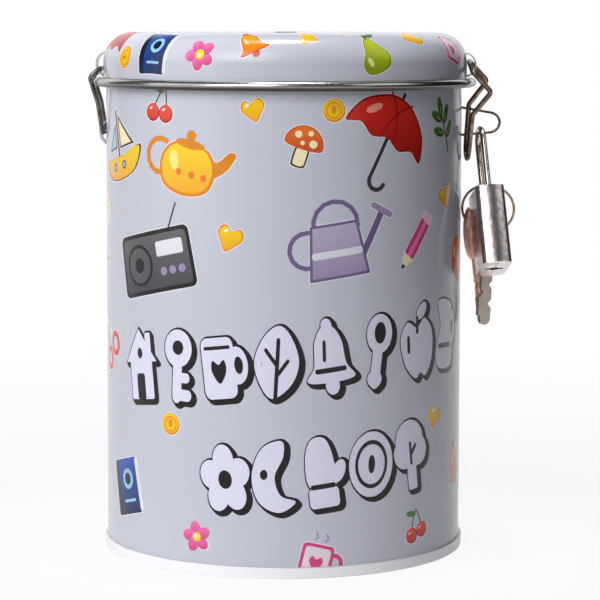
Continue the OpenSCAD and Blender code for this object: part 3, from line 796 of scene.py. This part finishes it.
def tinplate(tree, shader, painted, painted_shade=None):
    """Bright tinplate with rolling lines, in the print's ground colour where painted is 1, and darkened
    with painted shade, for the shadow under the rolled edge, where the last argument is 1."""
    grain = noise(tree, object_mm(tree, (0.3, 0.3, 6)), 1.0, 4.0, 0.6)
    patches = noise(tree, object_mm(tree), 0.12, 3.0)
    metal = mixed(tree, spread(tree, patches, 0.35, 0.65, 0, 1), BRIGHT_TIN, DULL_TIN)
    # Painted shade: darkens the tin where the rolled edge's underside is in shadow
    if painted_shade:
        metal = mixed(tree, painted_shade, metal, PAINTED_SHADE_COLOUR)
    tree.links.new(mixed(tree, painted, metal, GROUND), shader.inputs["Base Color"])
    tree.links.new(spread(tree, painted, 0, 1, 1, 0), shader.inputs["Metallic"])
    tree.links.new(spread(tree, grain, 0.3, 0.7, 0.17, 0.25), shader.inputs["Roughness"])
    raised(tree, shader, grain, 0.003, 0.2)


def tin_wall_finish():
    """The wall outside in the print's ground colour, and bare tinplate within and on the rim."""
    made, tree, shader = material("tin_ground_and_bare_inside")
    radius, height = radius_and_height(tree, object_mm(tree), 0)
    outside = spread(tree, radius, WALL_R - 0.2, WALL_R - 0.1, 0, 1)
    below = spread(tree, height, RIM_Z - 0.3, RIM_Z - 0.2, 1, 0)
    tinplate(tree, shader, joined(tree, "MULTIPLY", outside, below))
    return made


def lid_finish():
    """The lid's rolled edge and its inside in bare tinplate, the rest in the print's ground colour; the
    rolled edge's lower part darkened with painted shade.
    """
    made, tree, shader = material("lid_ground_bare_bead_painted_shade")
    radius, height = radius_and_height(tree, object_mm(tree), LID_X)
    outside = spread(tree, radius, LID_R - 0.2, LID_R - 0.1, 0, 1)
    above = spread(tree, height, BEAD_TOP, BEAD_TOP + 0.1, 0, 1)
    top = spread(tree, height, LID_TOP - 0.2, LID_TOP - 0.1, 0, 1)
    painted = joined(tree, "MAXIMUM", joined(tree, "MULTIPLY", outside, above), top)
    # Painted shade under the rolled edge: full at its lowest part, fading out above
    painted_shade = spread(tree, height, BEAD_LOW + PAINTED_SHADE_TO, BEAD_LOW + BRIGHT_FROM, 1, 0)
    tinplate(tree, shader, painted, painted_shade)
    return made


def metal_finish(name, bright, dull, rough, speckle=0.0, pit=0.01):
    """Plated metal: dull patches and speckles in bright plate, and fine pits of a depth in millimetres."""
    made, tree, shader = material(name, bright, 1.0)
    where = object_mm(tree)
    patches = spread(tree, noise(tree, where, 0.5, 5.0, 0.6), 0.42, 0.62, 0, 1)
    spots = spread(tree, noise(tree, where, 3.2, 3.0, 0.7), 0.6 - 0.25 * speckle, 0.72, 0, 1)
    worn = joined(tree, "MAXIMUM", patches, spots)
    tree.links.new(mixed(tree, worn, bright, dull), shader.inputs["Base Color"])
    tree.links.new(spread(tree, worn, 0, 1, rough, rough + 0.18), shader.inputs["Roughness"])
    raised(tree, shader, noise(tree, where, 2.4, 4.0, 0.65), pit, 0.6)
    return made


def dress(finish, *names):
    """Gives CAD pieces their finish."""
    for name in names:
        nodes[name].data.materials.clear()
        nodes[name].data.materials.append(finish)


PRINT = print_finish()
# Metals: bright and dull colour, roughness, share of speckles and depth of pits
WIRE = metal_finish("dull_nickelled_wire", (146, 124, 109), (112, 92, 79), 0.25, 0.1, 0.008)
DARK_WIRE = metal_finish("dark_steel_wire", (122, 117, 112), (88, 82, 77), 0.18, 0.1, 0.006)
LOCK = metal_finish("worn_chrome", (228, 222, 222), (194, 180, 178), 0.08, 0.6, 0.09)
SHACKLE = metal_finish("bright_shackle", (216, 202, 192), (190, 174, 160), 0.17, 0.2, 0.004)
INNER = metal_finish("plain_steel", (150, 150, 154), (120, 120, 124), 0.3)
SPRING = metal_finish("spring_steel", (170, 171, 176), (130, 130, 136), 0.2)
RING = metal_finish("ring_steel", (178, 158, 142), (112, 94, 80), 0.22, 0.1)
COPPER = metal_finish("copper_plate", (252, 202, 180), (228, 172, 150), 0.42, 0.3, 0.02)
NICKEL = metal_finish("nickel_plate", (232, 219, 208), (212, 199, 188), 0.4, 0.3, 0.02)

dress(tin_wall_finish(), "tin_body")
dress(lid_finish(), "lid_shell")
dress(base_finish(), "base_plate")
dress(DARK_WIRE, "hinge_wire", "staple_wire")
dress(WIRE, "hasp_wire")
dress(LOCK, "padlock_shell", "padlock_top_plate")
dress(SHACKLE, "padlock_shackle")
dress(INNER, "lock_block", "latch_plate", "key_post", "stop_pin")
dress(SPRING, "latch_spring", "shackle_spring")
dress(RING, "key_ring")
dress(COPPER, "copper_key")
dress(NICKEL, "nickel_key")


# The print's layout: (motif, size) pairs for the motifs that are scattered
MOTIFS = [(teapot, 17), (sprig, 12), (umbrella, 22), (pencil, 15), (radio, 18), (pear, 12),
          (watering_can, 19), (balloon, 18), (cherries, 9), (book, 13), (mushroom, 10), (candle, 17),
          (mug, 11), (boat, 17), (sock, 12), (scissors, 13), (bell, 10), (cottage, 14)]
SMALL = [(heart, 6.2), (coin, 5.4), (flower, 7.5), (heart, 4.8)]
# The motifs on the tin's front: (motif, u, v, size, turn)
FRONT = [
    (boat, -47, 95, 17, 14),
    (cherries, -30, 105.5, 9, -10),
    (teapot, -22.5, 92.5, 17.5, -12),
    (heart, -6.5, 104.5, 5.6, 15),
    (radio, -32.5, 70, 19, 12),
    (mushroom, 4.5, 96.5, 10, -18),
    (heart, -12, 76, 6.4, -20),
    (umbrella, 24, 97, 22, -28),
    (watering_can, 12, 76, 20, 8),
    (coin, 11.5, 104.5, 5.2, 0),
    (pencil, 33.5, 74.5, 15, -38),
    (sprig, 44.5, 100, 12, 24),
    (heart, 45.5, 84, 6, 20),
    (balloon, 56, 66, 17, 18),
    (scissors, -55, 51, 15, 40),
    (book, -43, 17, 14, 14),
    (coin, -27, 33.5, 5, 0),
    (mug, 8, 4.5, 11, -14),
    (flower, -20, 8.5, 7, 10),
    (heart, 41, 33.5, 5.6, -18),
    (bell, 53, 21, 12, 16),
    (cherries, 34, 9.5, 8, 12),
    (candle, -60, 76, 16, -12),
    (heart, -62, 30, 6, 10),
    (sock, 61, 98, 12, -14),
]
# The front is kept free of scattered motifs by blanket points this far apart, up to FRONT_HALF
BLANKET_STEP = 9
FRONT_HALF = 54
FRONT_LOW = 8
FRONT_HIGH = 110
UPPER_ROW = (sticker_house, sticker_key, sticker_mug, sticker_leaf, sticker_bell, sticker_spoon,
             sticker_apple, sticker_jug)
LOWER_ROW = (sticker_flower, sticker_moon, sticker_mitten, sticker_coin, sticker_tree)
# Each row of stickers: the first one's u, the step to the next, the first one's v, the rise, the size
ROWS = ((UPPER_ROW, -37, 11.9, 46, 0.9, 15.2),
        (LOWER_ROW, -13, 11.3, 22, 1.0, 15))
# Turns of every other sticker, in degrees
ROW_TURNS = (7, -2)
# Scattered motifs: which, how many, and their lowest and highest place
SCATTER = ((MOTIFS, 24, 8, 104), (SMALL, 24, 6, 109))
# Places tried at random for each of them
TRIES = 60
# Starts of the random draws
TIN_SEED = 4
LID_SEED = 9
# Motifs round the lid's shoulder, and how far out from the flat top the big and the small ones stand
AROUND = 10
BIG_OUT = 7.5
SMALL_OUT = 6
# Motifs on the lid's top, the oval and the circle that the big and small ones stand on, the biggest
ON_TOP = 6
TOP_OVAL = (19.5, 21)
TOP_CIRCLE = 27
TOP_SIZE = 13


def front_rows():
    """Two rows of stickers across the front, on a slight slope."""
    out = []
    for row, start, step, low, rise, size in ROWS:
        for k, shape in enumerate(row):
            out.append((shape(), start + step * k, low + rise * k, size, ROW_TURNS[k % 2]))
    return out


def scattered(rng, kinds, count, low, high, taken):
    """Layers of count motifs, each at the first free place that is tried at random round the wall."""
    half = math.pi * WALL_R
    layers = []
    for k in range(count):
        motif, size = kinds[k % len(kinds)]
        for _ in range(TRIES):
            u = rng.uniform(-1, 1) * math.pi * WALL_R
            v = rng.uniform(low, high)
            turn = rng.uniform(-35, 35)
            at_seam = abs(u) > half - SEAM_STRIP - size * 0.5
            free = all(math.hypot(u - a, v - b) > size * 0.5 + room for a, b, room in taken)
            if free and not at_seam:
                layers += printed(motif(), u, v, size, turn)
                taken.append((u, v, size * 0.5))
                break
    return layers


def tin_layers():
    """The wall's motifs, the front's at their own places and the rest scattered, then the stickers."""
    rng = np.random.default_rng(TIN_SEED)
    stickers = front_rows()
    across = range(-FRONT_HALF, FRONT_HALF + 1, BLANKET_STEP)
    up = range(FRONT_LOW, FRONT_HIGH, BLANKET_STEP)
    taken = [(u, v, size * 0.55) for _, u, v, size, _ in stickers]
    taken += [(u, v, size * 0.5) for _, u, v, size, _ in FRONT]
    taken += [(u, v, BLANKET_STEP) for u in across for v in up]
    layers = []
    for motif, u, v, size, turn in FRONT:
        layers += printed(motif(), u, v, size, turn)
    for kinds, count, low, high in SCATTER:
        layers += scattered(rng, kinds, count, low, high, taken)
    for shape, u, v, size, turn in stickers:
        layers += sticker(shape, u, v, size, turn)
    return layers


def lid_layers():
    """Motifs all round the lid's shoulder with small ones between them, and a ring of them on its top
    about the slot."""
    rng = np.random.default_rng(LID_SEED)
    layers = []
    for k in range(AROUND):
        a = 2 * math.pi * (k + 0.3) / AROUND + rng.uniform(-0.06, 0.06)
        motif, size = MOTIFS[(7 * k + 3) % len(MOTIFS)]
        r = TOP_R + BIG_OUT + rng.uniform(-2.5, 2)
        turn = math.degrees(a) + 90 + rng.uniform(-30, 30)
        layers += printed(motif(), r * math.cos(a), r * math.sin(a), size * 0.9, turn)
        b = a + math.pi / AROUND
        motif, size = SMALL[k % len(SMALL)]
        r = TOP_R + SMALL_OUT + rng.uniform(-3, 4)
        layers += printed(motif(), r * math.cos(b), r * math.sin(b), size, rng.uniform(0, 360))
    for k in range(ON_TOP):
        a = 2 * math.pi * (k + 0.5) / ON_TOP
        motif, size = MOTIFS[(5 * k + 1) % len(MOTIFS)]
        u, v = TOP_OVAL[0] * math.cos(a), TOP_OVAL[1] * math.sin(a)
        layers += printed(motif(), u, v, min(size, TOP_SIZE), rng.uniform(-30, 30))
        motif, size = SMALL[(k + 1) % len(SMALL)]
        a += math.pi / ON_TOP
        u, v = TOP_CIRCLE * math.cos(a), TOP_CIRCLE * math.sin(a)
        layers += printed(motif(), u, v, size, rng.uniform(-30, 30))
    return layers


# Grid points that bend the sheets: round the wall and up it, and on the lid rings and points on each,
# over the shoulder and on the flat top
WALL_GRID = (239, 27)
SHOULDER_GRID = (22, 240)
TOP_GRID = (9, 60)
# Gap between a sheet and the base ring or the rolled edge
EDGE_GAP = 0.05


def print_tin():
    """The printed wall, from the base ring to under the lid, with a bare strip at the side seam."""
    half = math.pi * WALL_R - SEAM_STRIP
    low, high = RING_TOP + EDGE_GAP, RIM_Z
    border = poly((-half, low), (half, low), (half, high), (-half, high))
    hasp_side = WALL_R * math.pi / 2
    holes = [ellipse(hasp_side, z, STAPLE_HOLE_R, n=16) for z in STAPLE_HOLES]
    holes.append(panel(-hasp_side - STRAP_HALF, TIN_STRAP_Z - STRAP_HALF_UP,
                       -hasp_side + STRAP_HALF, TIN_STRAP_Z + STRAP_HALF_UP, 0.1))
    u, v = np.meshgrid(np.linspace(-half, half, WALL_GRID[0])[1:-1],
                       np.linspace(low, high, WALL_GRID[1])[1:-1])
    grid = np.column_stack([u.ravel(), v.ravel()])
    printed_sheet("tin_print", tin_layers(), border, holes, grid, on_tin, "tin")


def print_lid():
    """The printed lid, cut open at the slot and at the two straps."""
    border = ellipse(0, 0, BLANK_R - EDGE_GAP, n=SHOULDER_GRID[1])
    half_w, half_l = SLOT_W / 2 + SLOT_GAP, SLOT_L / 2 + SLOT_GAP
    holes = [panel(-half_w, -half_l, half_w, half_l, SLOT_W / 2)]
    side = STRAP_HALF / LID_R * 1.02
    corners = [(LID_STRAP_R, -side), (BLANK_R + 1, -side), (BLANK_R + 1, side), (LID_STRAP_R, side)]
    for a in (math.pi, HASP_STRAP):
        holes.append(poly(*[(r * math.cos(a + b), r * math.sin(a + b)) for r, b in corners]))
    over_shoulder = np.linspace(TOP_R, BLANK_R - 0.4, SHOULDER_GRID[0])
    on_top = np.linspace(4, TOP_R - 2, TOP_GRID[0])
    grid = np.vstack([ring_points(over_shoulder, SHOULDER_GRID[1]), ring_points(on_top, TOP_GRID[1])])
    printed_sheet("lid_print", lid_layers(), border, holes, grid, on_lid, "lid")


print_tin()
print_lid()


# The camera, in metres and degrees
CAMERA_PLACE = (0.00374, -0.5826, 0.1247)
CAMERA_DOWN = 5.15
CAMERA_ROLL = -0.12


def camera():
    """A long lens at the height of the lid, looking slightly down."""
    data = bpy.data.cameras.new("camera")
    data.sensor_width = 36
    data.lens = 147.6
    data.shift_y = -0.10
    cam = bpy.data.objects.new("camera", data)
    bpy.context.scene.collection.objects.link(cam)
    cam.location = CAMERA_PLACE
    cam.rotation_euler = (math.radians(90 - CAMERA_DOWN), math.radians(CAMERA_ROLL), 0)
    bpy.context.scene.camera = cam


# Lamps, which the camera doesn't see: place, what it lights and side in metres, watts, beam in degrees
LAMPS = (
    ("left_box", (-0.75, -0.38, 0.35), (0, 0, 0.06), 0.9, 2.7, 180),
    ("front_box", (-0.3, -0.65, 0.5), (0, 0, 0.06), 0.5, 4, 180),
    ("top_box", (0, 0.005, 0.32), (0, 0, 0.12), 0.1, 0.025, 24),
)
# Strength of the light from all sides
SURROUND = 0.12
FLOOR_WHITE = (250, 250, 252)
# The floor lies just under the base ring
FLOOR_Z = -0.0002
CARD_BLACK = (26, 26, 30)
# Upright cards, which the camera doesn't see: start and end on the floor, lowest and highest edge
DARK_CARD = ((0.45, -0.4), (0.6, 0.75), 0.0, 0.7)
WINGS = (
    ("front_wing", (-0.12, -0.66), (0.02, -0.68), 0.3, 0.8),
    ("right_wing", (0.4, -0.4), (0.5, 0.0), 0.3, 0.8),
)
# Distances from the middle between which a sweep card turns to plain white, in metres
NEAR = 0.1
FAR = 0.35


def soft_box(name, place_m, aim_m, side, power, beam):
    """A square area lamp at a place, turned to what it lights, its light kept within the beam."""
    data = bpy.data.lights.new(name, "AREA")
    data.shape = "RECTANGLE"
    data.size = side
    data.size_y = side
    data.energy = power
    data.spread = math.radians(beam)
    lamp = bpy.data.objects.new(name, data)
    bpy.context.scene.collection.objects.link(lamp)
    lamp.location = place_m
    lamp.rotation_euler = (Vector(aim_m) - Vector(place_m)).to_track_quat("-Z", "Y").to_euler()
    lamp.visible_camera = False


def stage_plane(name, corners, finish):
    """A flat card through four corners, not part of the money box."""
    mesh = bpy.data.meshes.new(name)
    mesh.from_pydata(corners, [], [(0, 1, 2, 3)])
    mesh.materials.append(finish)
    card = bpy.data.objects.new(name, mesh)
    bpy.context.scene.collection.objects.link(card)
    return card


def upright_card(name, start, end, low, high, finish):
    """A card that stands over the line from start to end."""
    return stage_plane(name, [(*start, low), (*end, low), (*end, high), (*start, high)], finish)


def sweep_finish(name, colour, near):
    """A card that camera and gloss rays see as plain white: in full beyond FAR from the middle, and in
    the share near close to it, where the card's own colour keeps a soft shadow."""
    made, tree, shader = material(name, colour, 0.0, 0.6)
    glow = node(tree, "ShaderNodeEmission", Strength=1.0)
    ray = node(tree, "ShaderNodeLightPath")
    seen = joined(tree, "MAXIMUM", ray.outputs["Is Camera Ray"], ray.outputs["Is Glossy Ray"])
    where = node(tree, "ShaderNodeTexCoord")
    middle = node(tree, "ShaderNodeVectorMath", operation="LENGTH")
    tree.links.new(where.outputs["Object"], middle.inputs[0])
    white = spread(tree, middle.outputs["Value"], NEAR, FAR, near, 1)
    both = node(tree, "ShaderNodeMixShader")
    tree.links.new(joined(tree, "MULTIPLY", seen, white), both.inputs["Fac"])
    tree.links.new(shader.outputs["BSDF"], both.inputs[1])
    tree.links.new(glow.outputs["Emission"], both.inputs[2])
    tree.links.new(both.outputs["Shader"], tree.nodes["Material Output"].inputs["Surface"])
    return made


def surround():
    """A weak even light from all sides, which the camera sees as white."""
    world = bpy.data.worlds.new("studio")
    world.use_nodes = True
    bpy.context.scene.world = world
    tree = world.node_tree
    sky = tree.nodes["Background"]
    sky.inputs["Color"].default_value = (1, 1, 1, 1)
    sky.inputs["Strength"].default_value = SURROUND
    seen = node(tree, "ShaderNodeBackground", Color=(1, 1, 1, 1), Strength=1.0)
    ray = node(tree, "ShaderNodeLightPath")
    both = node(tree, "ShaderNodeMixShader")
    tree.links.new(ray.outputs["Is Camera Ray"], both.inputs["Fac"])
    tree.links.new(sky.outputs["Background"], both.inputs[1])
    tree.links.new(seen.outputs["Background"], both.inputs[2])
    tree.links.new(both.outputs["Shader"], tree.nodes["World Output"].inputs["Surface"])


def studio():
    """A big soft box on the left, a smaller one in front and a small lamp over the lid. A white floor and
    backdrop, a dark card on the right, and two cards that are white to gloss rays only, in front and on
    the right, for the padlock's bright bands."""
    bpy.context.scene.view_settings.view_transform = "Standard"
    surround()
    for lamp in LAMPS:
        soft_box(*lamp)
    white = sweep_finish("floor_white", FLOOR_WHITE, 0.9)
    gloss_only = sweep_finish("card_for_gloss", CARD_BLACK, 1.0)
    dark, _, _ = material("dark_card", CARD_BLACK, 0.0, 0.9)
    stage_plane("floor", [(x, y, FLOOR_Z) for x, y in ((-3, -3), (3, -3), (3, 1.4), (-3, 1.4))], white)
    upright_card("backdrop", (-1.6, 1.4), (1.6, 1.4), 0, 1.3, white)
    unseen = [upright_card("dark_card", *DARK_CARD, dark)]
    unseen += [upright_card(*wing, gloss_only) for wing in WINGS]
    for card in unseen:
        card.visible_camera = False


camera()
studio()
